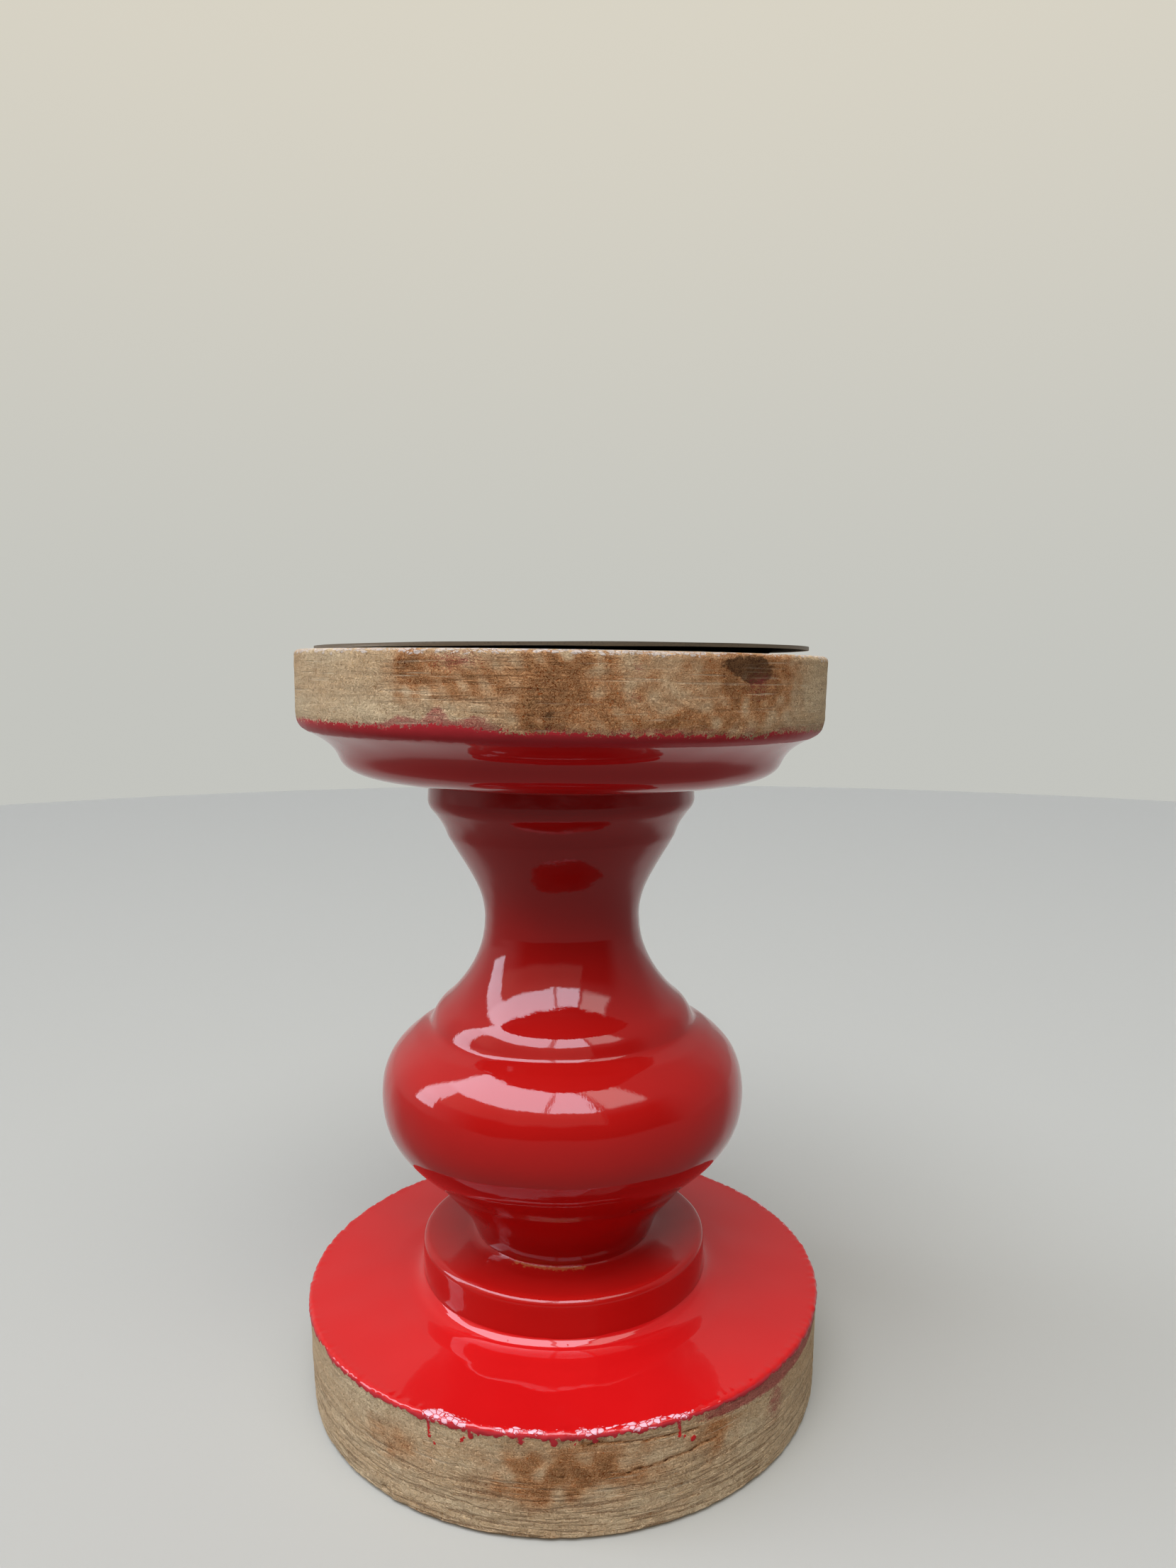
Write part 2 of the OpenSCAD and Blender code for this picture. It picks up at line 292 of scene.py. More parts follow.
class Shader:
    """A node tree with one surface shader, and short ways to add nodes to it."""

    def __init__(self, name):
        self.material = bpy.data.materials.new(name)
        self.material.use_nodes = True
        self.tree = self.material.node_tree
        self.surface = self.tree.nodes["Principled BSDF"]

    @classmethod
    def over(cls, tree, surface):
        """The same short ways on a node tree that exists."""
        shader = cls.__new__(cls)
        shader.tree, shader.surface = tree, tree.nodes[surface]
        return shader

    def set(self, **inputs):
        for name, value in inputs.items():
            self.join(value, self.surface.inputs[name.replace("_", " ")])

    def join(self, value, socket):
        if isinstance(value, bpy.types.NodeSocket):
            self.tree.links.new(value, socket)
        else:
            socket.default_value = value

    def add(self, kind, values, output=0, **settings):
        node = self.tree.nodes.new("ShaderNode" + kind)
        for name, value in settings.items():
            setattr(node, name, value)
        for key, value in values.items():
            self.join(value, node.inputs[key])
        return node.outputs[output]

    def calc(self, operation, a, b=0.0, c=0.0):
        return self.add("Math", {0: a, 1: b, 2: c}, operation=operation)

    def times(self, a, b):
        return self.calc("MULTIPLY", a, b)

    def plus(self, a, b):
        return self.calc("ADD", a, b)

    def mark(self, name, output="Fac"):
        return self.add("Attribute", {}, output, attribute_name=name)

    def step(self, value, low, high, to=(0.0, 1.0)):
        return self.add("MapRange", {0: value, 1: low, 2: high, 3: to[0], 4: to[1]},
                        interpolation_type="SMOOTHSTEP")

    def blend(self, share, a, b):
        """Colour a where share is 0, colour b where it is 1."""
        a, b = [(*c, 1.0) if isinstance(c, tuple) else c for c in (a, b)]
        return self.add("Mix", {0: share, 6: a, 7: b}, output=2, data_type="RGBA")

    def tint(self, share, colour, by):
        """Colour multiplied by another colour, by a share."""
        return self.add("Mix", {0: share, 6: colour, 7: (*by, 1.0)}, output=2, data_type="RGBA",
                        blend_type="MULTIPLY")

    def cells(self, vector, scale, output="Distance", feature="F1"):
        return self.add("TexVoronoi", {"Vector": vector, "Scale": scale}, output, feature=feature)

    def mm(self):
        """Position in mm in the piece's own frame."""
        place = self.add("TexCoord", {}, "Object")
        return self.add("VectorMath", {0: place, "Scale": 1 / MM}, operation="SCALE")

    def stretched(self, vector, scale, turn=0.0):
        """The vector scaled, then turned by degrees about Z."""
        turn = (0.0, 0.0, math.radians(turn))
        return self.add("Mapping", {"Vector": vector, "Scale": scale, "Rotation": turn})

    def noise(self, vector, scale, detail=2.0, roughness=0.5, distortion=0.0):
        return self.add("TexNoise", {"Vector": vector, "Scale": scale, "Detail": detail,
                                     "Roughness": roughness, "Distortion": distortion})

    def bump(self, height_mm):
        """Normal from a height in mm."""
        return self.add("Bump", {"Height": height_mm, "Distance": MM, "Strength": 1.0})


def enamel_parts(sh, mm, depth):
    """Colour and height in mm of the red enamel. A larger depth gives a darker, warmer copy; the stem's
    darker copy is painted shade for its sides that face away from the light under the top disc.
    """
    drift = sh.noise(mm, 0.05, 2)
    shades = (0.55, 0.0044, 0.0056), (0.62, 0.006, 0.0075)
    colour = sh.blend(drift, *[(r / depth, g * depth ** 0.5, b / depth) for r, g, b in shades])
    chosen = sh.calc("LESS_THAN", sh.add("SeparateColor", {0: sh.cells(mm, 0.16, "Color")}), 0.35)
    nib = sh.times(sh.step(sh.cells(mm, 0.16), 0.0, 0.045, (0.05, 0.0)), chosen)
    ripple = sh.times(sh.noise(mm, 0.3, 2), 0.02)
    return colour, sh.plus(nib, ripple)


def wood_parts(sh, mm, turned):
    """Colour and height in mm of the raw sanded wood, with stains and smears. Its grain runs along Y."""
    pores = sh.noise(sh.stretched(mm, (1.0, 0.06, 1.0)), 1.1, 3, 0.6)
    fibre = sh.noise(mm, 1.35, 3, 0.6, 2.6)
    fuzz = sh.calc("SUBTRACT", 1.0, sh.calc("ABSOLUTE", sh.calc("MULTIPLY_ADD", fibre, 4.4, -2.2)))
    fuzz = sh.step(fuzz, 0.35, 0.95)
    pits = sh.step(sh.noise(mm, 1.7, 3, 0.65, 1.2), 0.50, 0.68)
    rows = sh.step(sh.noise(sh.stretched(turned, (0.07, 1.0, 1.0)), 1.25, 2, 0.5, 0.25), 0.47, 0.62)
    rows = sh.times(rows, sh.mark("ridges"))
    scratches = 0.0
    for scale, turn, low, high in (((0.05, 1.5, 1.0), 17, 0.60, 0.70), ((0.05, 1.7, 1.0), -28, 0.62, 0.71),
                                   ((0.06, 1.9, 1.0), 66, 0.64, 0.72)):
        streaks = sh.noise(sh.stretched(turned, scale, turn), 1.0, 2)
        scratches = sh.plus(scratches, sh.step(streaks, low, high))
    scratches = sh.times(scratches, sh.step(sh.noise(mm, 0.09, 2), 0.38, 0.60))
    tone = sh.noise(sh.stretched(mm, (0.05, 0.02, 0.14)), 1.0, 4, 0.6)
    colour = sh.blend(sh.step(tone, 0.3, 0.72), (0.74, 0.47, 0.235), (0.90, 0.69, 0.42))
    colour = sh.tint(sh.times(sh.step(pores, 0.5, 0.75), 0.6), colour, (0.62, 0.45, 0.32))
    colour = sh.tint(sh.times(pits, 0.66), colour, (0.47, 0.33, 0.22))
    colour = sh.tint(sh.times(rows, 0.85), colour, (0.40, 0.28, 0.19))
    patchy = sh.noise(sh.stretched(turned, (0.5, 1.15, 1.0)), 0.9, 4, 0.7, 0.6)
    patchy = sh.times(sh.plus(patchy, -0.5), 0.95)
    browned = sh.step(sh.plus(sh.mark("brown"), sh.times(patchy, 0.5)), -0.05, 1.0)
    browned = sh.times(browned, sh.step(sh.mark("brown"), 0.02, 0.25))
    colour = sh.tint(sh.times(browned, sh.step(fuzz, 0.0, 1.0, (0.9, 0.7))), colour, (0.62, 0.235, 0.07))
    stained = sh.step(sh.plus(sh.mark("brown"), patchy), 0.6, 1.5)
    colour = sh.tint(stained, colour, (0.46, 0.34, 0.26))
    charred = sh.step(sh.plus(sh.mark("char"), sh.times(patchy, 1.4)), 0.3, 0.62)
    black = sh.times(charred, sh.step(fuzz, 0.0, 1.0, (0.94, 0.75)))
    colour = sh.blend(black, colour, (0.055, 0.026, 0.013))
    grainy = sh.plus(sh.times(sh.plus(fuzz, -0.5), -0.35), sh.times(patchy, 0.9))
    smeared = sh.step(sh.plus(sh.mark("smear"), grainy), 0.2, 0.85)
    colour = sh.blend(sh.times(smeared, 0.8), colour, (0.40, 0.055, 0.07))
    bright = sh.times(fuzz, sh.step(charred, 0.0, 1.0, (0.42, 0.12)))
    pale = sh.tint(browned, (0.94, 0.75, 0.51, 1.0), (0.94, 0.68, 0.46))
    colour = sh.blend(bright, colour, sh.tint(smeared, pale, (0.85, 0.42, 0.45)))
    scratches = sh.times(scratches, sh.step(charred, 0.0, 1.0, (1.0, 0.3)))
    colour = sh.blend(sh.times(scratches, 0.4), colour, (0.86, 0.70, 0.48))
    height = sh.plus(sh.times(fuzz, 0.15), sh.times(pores, -0.10))
    height = sh.plus(height, sh.times(sh.plus(pits, rows), -0.16))
    return colour, sh.plus(height, sh.times(scratches, -0.09))


def painted_wood():
    """Raw wood with red enamel where the paint mark is above 0. A clear coat gives the enamel its gloss."""
    sh = Shader("part_painted_wood")
    mm = sh.mm()
    turned = sh.mark("turned", "Vector")
    wood, wood_high = wood_parts(sh, mm, turned)
    # The discs get the lighter copy of the enamel; the stem's darker copy is painted shade.
    enamel, enamel_high = enamel_parts(sh, mm, 1.08)
    fine = sh.plus(sh.noise(mm, 2.0, 3, 0.65, 0.6), -0.5)
    coarse = sh.plus(sh.noise(mm, 0.7, 2), -0.5)
    edge = sh.times(sh.plus(sh.times(fine, 3.2), sh.times(coarse, 1.6)), sh.mark("ragged"))
    painted = sh.step(sh.plus(sh.mark("paint"), edge), -0.08, 0.08)
    scuffed = sh.step(sh.plus(sh.mark("scuff"), sh.times(coarse, 0.5)), 0.15, 0.85)
    enamel = sh.blend(sh.times(scuffed, 0.8), enamel, (0.46, 0.035, 0.045))
    # Pale chips at the paint's edge: pale primer on the top disc, and on the base's bead a pinkish painted
    # highlight where pink_glint is 1.
    crumb = sh.stretched(turned, (0.72, 1.35, 1.0))
    size = sh.plus(sh.add("SeparateColor", {0: sh.cells(crumb, 1.0, "Color")}), -0.5)
    gaps = sh.step(sh.cells(crumb, 1.0, "Distance", "DISTANCE_TO_EDGE"), 0.02, 0.10)
    chipped_and_glinting = sh.plus(sh.mark("primer_and_glint"), sh.plus(sh.times(size, 1.0), sh.times(fine, 1.2)))
    chipped_and_glinting = sh.times(sh.step(chipped_and_glinting, -0.08, 0.08), gaps)
    primer_and_glint = sh.blend(sh.mark("pink_glint"), (0.84, 0.72, 0.64), (0.82, 0.46, 0.53))
    colour = sh.blend(sh.times(chipped_and_glinting, 0.88), sh.blend(painted, wood, enamel), primer_and_glint)
    bare = sh.calc("SUBTRACT", 1.0, painted)
    height = sh.plus(sh.times(wood_high, bare), sh.times(enamel_high, painted))
    height = sh.plus(height, sh.times(painted, 0.06))
    height = sh.plus(height, sh.times(scuffed, sh.times(fine, 0.05)))
    height = sh.plus(height, sh.times(chipped_and_glinting, 0.07))
    gloss = sh.times(painted, sh.step(scuffed, 0.0, 1.0, (1.0, 0.22)))
    gloss = sh.times(gloss, sh.step(chipped_and_glinting, 0.0, 1.0, (1.0, 0.5)))
    normal = sh.bump(height)
    sh.set(Base_Color=colour, Roughness=sh.step(painted, 0.0, 1.0, (0.75, 0.5)), Specular_IOR_Level=0.05,
           Coat_Weight=gloss, Coat_Roughness=0.028, Coat_IOR=1.52, Normal=normal, Coat_Normal=normal)
    return sh.material


def enamelled_wood():
    """Red enamel all over, but for the raw glued ends and a starved line at the waist."""
    sh = Shader("enamelled_wood")
    mm = sh.mm()
    # Darker, warmer copy of the discs' enamel: painted shade for the stem, which lies in the top disc's
    # shadow.
    enamel, height = enamel_parts(sh, mm, 1.38)
    grain = sh.noise(sh.stretched(mm, (1.0, 1.0, 0.06)), 1.2, 3, 0.6)
    wood = sh.blend(grain, (0.48, 0.30, 0.15), (0.72, 0.53, 0.33))
    starved = sh.plus(sh.mark("starved"), sh.times(sh.plus(sh.noise(mm, 1.4, 3, 0.6), -0.5), 1.6))
    starved = sh.step(starved, 0.45, 0.75)
    enamel = sh.blend(sh.times(starved, 0.7), enamel, (0.50, 0.15, 0.05))
    painted = sh.step(sh.mark("paint"), -0.05, 0.05)
    normal = sh.bump(sh.plus(height, sh.times(grain, 0.012)))
    sh.set(Base_Color=sh.blend(painted, wood, enamel), Roughness=0.5, Specular_IOR_Level=0.02,
           Coat_Weight=painted, Coat_Roughness=0.028, Coat_IOR=1.52, Normal=normal, Coat_Normal=normal)
    return sh.material


def black_metal():
    """Thin semi-matt black lacquer on spun sheet, worn to warm metal on its edge."""
    sh = Shader("black_metal")
    mm = sh.mm()
    grit = sh.noise(mm, 2.5, 3, 0.6)
    spun = sh.noise(sh.stretched(sh.mark("turned", "Vector"), (0.02, 1.3, 1.0)), 1.0, 3, 0.6)
    worn = sh.step(sh.plus(sh.mark("wear"), sh.times(sh.plus(grit, -0.5), 0.8)), 0.45, 0.75)
    coat = sh.blend(sh.noise(mm, 0.06, 3), (0.012, 0.010, 0.009), (0.026, 0.021, 0.017))
    sh.set(Base_Color=sh.blend(worn, coat, (0.23, 0.19, 0.14)),
           Metallic=sh.times(worn, 0.8),
           Roughness=sh.step(grit, 0.3, 0.7, (0.34, 0.5)),
           Normal=sh.bump(sh.plus(sh.times(grit, 0.012), sh.times(spun, 0.02))))
    return sh.material


def screw_steel():
    """Bright zinc plate, a little dulled in the thread."""
    sh = Shader("screw_steel")
    mm = sh.mm()
    cloud = sh.noise(mm, 0.9, 4, 0.65)
    colour = sh.blend(cloud, (0.46, 0.44, 0.38), (0.72, 0.70, 0.64))
    sh.set(Base_Color=colour, Metallic=1.0, Roughness=sh.step(cloud, 0.3, 0.7, (0.42, 0.26)),
           Normal=sh.bump(sh.times(sh.noise(mm, 4.0, 2), 0.01)))
    return sh.material


def felt():
    """Dense dark green wool felt."""
    sh = Shader("felt")
    mm = sh.mm()
    hairs = sh.noise(mm, 2.2, 4, 0.7, 3.0)
    colour = sh.blend(sh.noise(mm, 0.12, 3), (0.016, 0.034, 0.022), (0.030, 0.055, 0.036))
    colour = sh.blend(sh.step(hairs, 0.5, 0.75, (0.0, 0.5)), colour, (0.075, 0.115, 0.080))
    sh.set(Base_Color=colour, Roughness=0.95, Sheen_Weight=0.35, Normal=sh.bump(sh.times(hairs, 0.22)))
    return sh.material


# ---------------------------------------------------------------- wooden pieces

def between(value, low, high, soft):
    """1 between two values, with soft edges."""
    return ease(value, low - soft, low + soft) * (1 - ease(value, high - soft, high + soft))


def pooled(start, end, pull, count=7):
    """Points of the curve of paint that has run into an inner corner at pull."""
    t = np.linspace(0, 1, count)[:, None]
    return (1 - t) ** 2 * start + 2 * t * (1 - t) * pull + t * t * end


def base_disc(material):
    outline = seam_outline("base_disc")
    collar_r = stem_radius_at(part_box("base_disc")[1].z / MM + 4)
    top_z = outline[:, 1].max()
    fillet = pooled(np.array([collar_r - 0.1, top_z + 2.3]), np.array([collar_r + 4.2, top_z]),
                    np.array([collar_r + 0.5, top_z + 0.1]))
    socket = int(np.argmin(np.hypot(outline[:, 0] - 10.1, outline[:, 1] - top_z)))
    under = np.array([[collar_r - 0.4, top_z], [collar_r - 0.4, top_z + 2.0]])
    outline = np.vstack([outline[:socket + 1], under, fillet, outline[socket + 1:]])

    def step(r, z):
        if r > 54.5 and z > 0.3:
            return 0.42
        if r > collar_r - 1 and z > top_z - 0.5:
            return 0.45 if r < collar_r + 6 else 0.8
        return 3.0 if r > 40 else 12.0

    t = Turning("base_disc", step, 810, outline)
    edge = int(np.argmax(t.r[:, 0] + t.z[:, 0] * (t.r[:, 0] > 56)))
    along = t.s - t.s[edge]
    side = ease(t.r, 56.4, 57.2) * between(t.z, 0.6, 30, 0.3)
    top = (t.z > top_z - 0.4) * (t.r > collar_r - 0.6)
    front = t.hump(0, 42)

    # Paint: it ends just over the top edge, with drips, dots and a thick lumpy bead along the edge. The
    # pinkish-white chips on the bead are painted highlight, standing in for light caught by the lumps.
    reach = 0.85 + 0.22 * t.waves(1.6, 11) + 0.25 * t.waves(6, 12) + 0.5 * (t.waves(2.4, 13) > 0.95)
    paint = along + reach
    for azimuth, low, width in ((-26.5, -3.9, 0.30), (-18.0, -1.9, 0.42), (-8.5, -1.6, 0.42),
                                (-2.5, -1.5, 0.6), (5.0, -1.5, 0.5), (21.3, -3.6, 0.34), (112, -4.6, 0.34),
                                (160, -2.4, 0.4), (-131, -3.1, 0.32), (-74, -1.9, 0.35)):
        paint = np.maximum(paint, t.stroke((azimuth, 0), (azimuth + 0.5, low), width, along))
        paint = np.maximum(paint, t.stroke((azimuth + 0.5, low), (azimuth + 0.5, low), width + 0.14, along))
    for azimuth, low, size in ((-19.4, -3.1, 0.45), (-19.0, -2.5, 0.35), (-25.0, -5.2, 0.35),
                               (24.6, -5.1, 0.62), (22.6, -4.2, 0.34), (118, -7.0, 0.5), (-139, -6.2, 0.4)):
        paint = np.maximum(paint, t.stroke((azimuth, low), (azimuth, low), size, along))
    paint = np.where(top + (t.r > 55) * (t.z > 5) > 0, paint, -5)
    paint = np.where(t.r < collar_r - 0.6, -5, paint)
    # Band of the base's edge where the bead gets lumps and pinkish-white painted highlight.
    chips_and_glints = between(t.az, -28, 25, 2) + 0.7 * between(t.az, 96, 128, 3) + 0.7 * between(t.az, -165, -140, 3)
    chips_and_glints = np.clip(chips_and_glints, 0, 1) * (0.82 + 0.18 * t.waves(9, 14))
    primer_and_glint = 0.62 - abs(along - 0.35) * 0.9 - 2.2 * (1 - chips_and_glints)
    primer_and_glint = primer_and_glint + 0.5 * t.hump(-22.5, 3) * between(along, 0, 2.2, 0.4)
    primer_and_glint = np.where(t.r > 54, primer_and_glint, -5)
    bead = np.exp(-0.5 * (along / 0.8) ** 2) * (0.10 + 0.08 * t.waves(1.7, 15))
    bead = bead + 0.05 * np.exp(-0.5 * ((along - 1.9) / 0.25) ** 2) * chips_and_glints
    crimson = 0.95 * between(along, -2.0, -0.15, 0.25) * (t.r > 55) + 0.1 * chips_and_glints

    # Wood: stains, a dragged purple smear, cracks and a pale dent. The wood is also browner toward the
    # front, partly real stain and partly painted shade.
    wobble = t.waves(5, 21) * 0.35
    # The broad hump round azimuth 10 is partly stain and partly painted shade on the front of the rim.
    brown = 0.2 * t.hump(10, 30) + t.patches(
        (1.1, 1.5, 14.6, 9, 3.4), (0.7, 30, 15.5, 2.8, 2.6), (0.55, -35, 13.7, 5, 3.4),
        (0.55, -8, 9.8, 5, 1.8), (0.7, 150, 12, 8, 4), (0.5, -112, 9, 7, 3), (0.5, 84, 8, 6, 2.5))
    brown = brown * (1 + wobble) * side
    drag = 1.1 * between(t.az, 27, 72, 6) * between(along, -2.6 - 1.2 * t.hump(50, 12), -0.2, 0.6)
    drag = drag + 0.75 * t.patch(47, 14.5, 2.2, 3.2)
    drag = drag + 0.8 * t.hump(-150, 8) * between(along, -3.0, -0.4, 0.8)
    crack = t.stroke((3, -1.8), (26, -3.6), 0.22, along + 0.12 * t.waves(3, 22))
    crack = np.maximum(crack, t.stroke((30, -6.8), (10, -9.0), 0.16, along + 0.15 * t.waves(3, 23)))
    cut = ease(crack, -0.25, 0.15)
    dent = ease(t.stroke((-9.8, -1.6), (-6.5, -10.5), 0.3, along + 0.15 * t.waves(2, 24)), -0.3, 0.2)
    nick = ease(t.stroke((-38, -20.2), (-37, -20.9), 0.7, along), -0.5, 0.4)
    ridges = side * (0.35 + 0.65 * (1 - ease(t.z, 9, 15))) * (0.7 + 0.3 * front)
    coat = ease(paint, -0.12, 0.25)
    grooves = 0.05 * ridges * t.waves(2.2, 33) * (1 - coat)
    lift = side * (0.05 * t.waves(14, 31) + 0.04 * t.waves(3.5, 32) - grooves)
    lift = lift - 0.16 * cut - 0.12 * dent - 0.5 * nick + 0.11 * coat + bead
    ring = np.exp(-0.5 * ((t.r - collar_r - 7.5) / 0.9) ** 2)
    lift = lift + top * (0.035 * t.waves(16, 34) + 0.05 * ring)
    lift = lift * (t.r > collar_r + 0.2)
    marks = {"paint": paint, "primer_and_glint": primer_and_glint, "pink_glint": 1.0, "ragged": 0.25, "smear": drag,
             "scuff": crimson, "brown": brown + 0.6 * cut, "char": 0.6 * cut, "ridges": ridges}
    return t.build("base_disc_wood", lift, marks, "stand", material)


def stem_radius_at(height):
    """Radius of the stem's outline at a height in mm."""
    outline = seam_outline("stem")
    z = outline[:, 1]
    for i in range(len(z) - 1):
        if z[i] <= height < z[i + 1]:
            share = (height - z[i]) / (z[i + 1] - z[i])
            return float(outline[i, 0] + share * (outline[i + 1, 0] - outline[i, 0]))
    raise ValueError(f"the stem doesn't reach {height}")


def stem(material):
    outline = seam_outline("stem")
    inward = outline[:-1, 0] - outline[1:, 0]
    corner = 1 + int(np.flatnonzero((inward > 8) & (outline[1:, 1] > 25))[0])
    waist = outline[corner]
    fillet = pooled(waist + [1.7, 0], outline[corner + 2], waist + [-0.2, 0.1], 5)
    outline = np.vstack([outline[:corner], fillet, outline[corner + 3:]])
    foot, head = [v.z / MM for v in (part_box("base_disc")[1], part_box("stem")[1])]
    seat = head - 10.8

    def step(r, z):
        return 0.85 if r > 12 and foot - 0.01 < z < seat + 0.01 else 14.0

    t = Turning("stem", step, 360, outline, closed=False)
    skin = (t.r > 10.5) * (t.z > foot - 0.01) * (t.z < seat + 0.01)
    lift = skin * (0.03 * t.waves(17, 41) + 0.012 * t.waves(6, 42))
    crease = np.exp(-0.5 * ((t.z - waist[1] - 0.45) / 0.2) ** 2) * (t.r < waist[0] + 2)
    starved = crease * (0.85 * between(t.az, -34, 14, 5) + 0.7 * between(t.az, 120, 158, 6))
    marks = {"paint": np.where(skin, 5.0, -5.0), "starved": starved}
    return t.build("stem_wood", lift, marks, "stand", material)


def top_disc(material):
    outline = seam_outline("top_disc")

    def step(r, z):
        if r > 55.5 and z > 146:
            return 0.42
        if r > 39:
            return 0.6 if z < 160 or r > 49.5 else 0.8
        return 1.5 if r > 30.5 and z < 140 else 6.0

    t = Turning("top_disc", step, 720, outline, level_inside=29.5)
    paint_z = 150.1
    line = int(np.argmin(abs(t.z[:, 0] - paint_z) + 99 * (t.r[:, 0] < 55)))
    rim = int(np.argmax(t.r[:, 0] + t.z[:, 0] * (t.r[:, 0] > 56)))
    along = t.s - t.s[line]
    up = t.s - t.s[rim]
    side = ease(t.r, 55.5, 56.5) * ease(t.z, paint_z - 4, paint_z - 3) * (1 - ease(up, 0.2, 0.8))

    # Paint: a ragged worn line round the side, with a dry smear where it rises
    edge = (0.7 * t.hump(-55, 22) + 1.1 * t.hump(-24, 6) - 0.5 * t.hump(38, 12) - 0.4 * t.hump(74, 9)
            + 0.9 * t.hump(118, 16) + 1.2 * t.hump(-150, 14) - 0.4 * t.hump(165, 10))
    edge = edge + 0.16 * t.waves(1.1, 51) + 0.18 * t.waves(3.2, 52) + 0.15 * t.waves(12, 53)
    paint = edge - along
    paint = np.where((t.r < 29.9) | (along > 9), -5, paint)
    paint = np.where((t.r > 29.9) & (t.z < 140), 5, paint)
    smear = (0.8 * between(t.az, -36, -12, 4) * between(along, 0.2, 2.6 + 0.8 * t.waves(7, 54), 0.7)
             + 0.62 * between(along, -0.4, 1.1, 0.6) * (0.75 + 0.35 * t.waves(9, 54)))
    smear = smear + t.patches((0.62, -18.5, 162.4, 3.8, 1.3), (0.5, 13, 161.5, 0.9, 0.9),
                              (0.55, 39, 159.0, 3.4, 2.0), (0.4, 12, 156.6, 1.6, 0.7))
    scuff = 1.15 * ease(along - edge, -4.4, -2.2) * (t.r > 55) + 0.05

    # Wood: stains, a scorch, and primer left on the top edge
    wobble = 1 + 0.35 * t.waves(4, 55)
    brown = 0.42 * between(t.az, -12, 52, 14) + t.patches(
        (1.3, -28, 161.2, 2.4, 3.0), (0.6, -20, 160.6, 7, 2.6), (0.35, -20, 157.0, 9, 2.6),
        (2.0, -2.4, 155.0, 2.5, 4.2), (0.6, 2, 157, 7, 4), (0.5, 3.5, 163.0, 2.6, 0.9),
        (1.3, 37.5, 160.0, 7, 3.2), (0.55, 24, 152.2, 9, 1.6),
        (0.6, 125, 158, 9, 3), (0.5, -118, 154, 8, 3), (0.6, 175, 157, 7, 4))
    char = t.patches((1.5, 37.0, 161.6, 3.2, 1.7), (0.8, 32.5, 162.6, 2.6, 0.7),
                     (0.4, -28, 161.8, 1.5, 1.6), (0.45, -2.4, 153.4, 1.6, 1.8))
    primer_and_glint = 0.62 + 0.3 * t.waves(1.5, 56) - abs(up - 0.25) * 1.0 - 0.5 * between(t.az, 30, 60, 6)
    primer_and_glint = np.where((up > -3) & (up < 3), primer_and_glint, -5)
    scratch = t.stroke((11, 8.2), (25, 3.6), 0.16, along + 0.1 * t.waves(3, 57))
    scratch = np.maximum(scratch, t.stroke((22, 6.0), (31, 3.4), 0.12, along))
    scratch = np.maximum(scratch, t.stroke((-3, 11.5), (-8, 10.4), 0.12, along))
    scratch = np.maximum(scratch, t.stroke((140, 9.0), (124, 4.0), 0.15, along))
    cut = ease(scratch, -0.25, 0.12)
    coat = ease(paint, -0.12, 0.25)
    recess = (t.z > paint_z) * (t.r < 56)
    lift = side * (0.05 * t.waves(13, 61) + 0.045 * t.waves(3.2, 62) * (1 - 0.7 * coat)) - 0.14 * cut * side
    lift = lift + (t.r > 30.5) * (t.z < paint_z) * 0.022 * t.waves(12, 63) + 0.06 * coat * (t.r > 31)
    lift = lift + 0.04 * recess * t.waves(4, 64) * (t.r > 12)
    ridges = side * (0.25 + 0.75 * t.patch(-16, 158.5, 13, 4.5)) + 0.5 * recess
    marks = {"paint": paint, "primer_and_glint": primer_and_glint, "pink_glint": 0.0, "ragged": 1.0, "smear": smear * side,
             "scuff": scuff, "brown": brown * wobble * side, "char": char * side, "ridges": ridges}
    return t.build("top_disc_wood", lift, marks, "stand", material)


# ---------------------------------------------------------------- dish, screws and felt

def candle_dish(material):
    def step(r, z):
        return 1.6 if r < 37 else 0.35

    t = Turning("candle_dish", step, 480, closed=False)
    lip = ease(t.r, 46, 49)
    lift = 0.03 * t.waves(20, 71)
    wear = 0.75 * ease(t.r, t.r.max() - 0.35, t.r.max()) + 0.35 * lip * ease(t.waves(6, 72), 0.4, 1.2)
    return t.build("candle_dish_sheet", lift, {"wear": wear}, "dish", material)


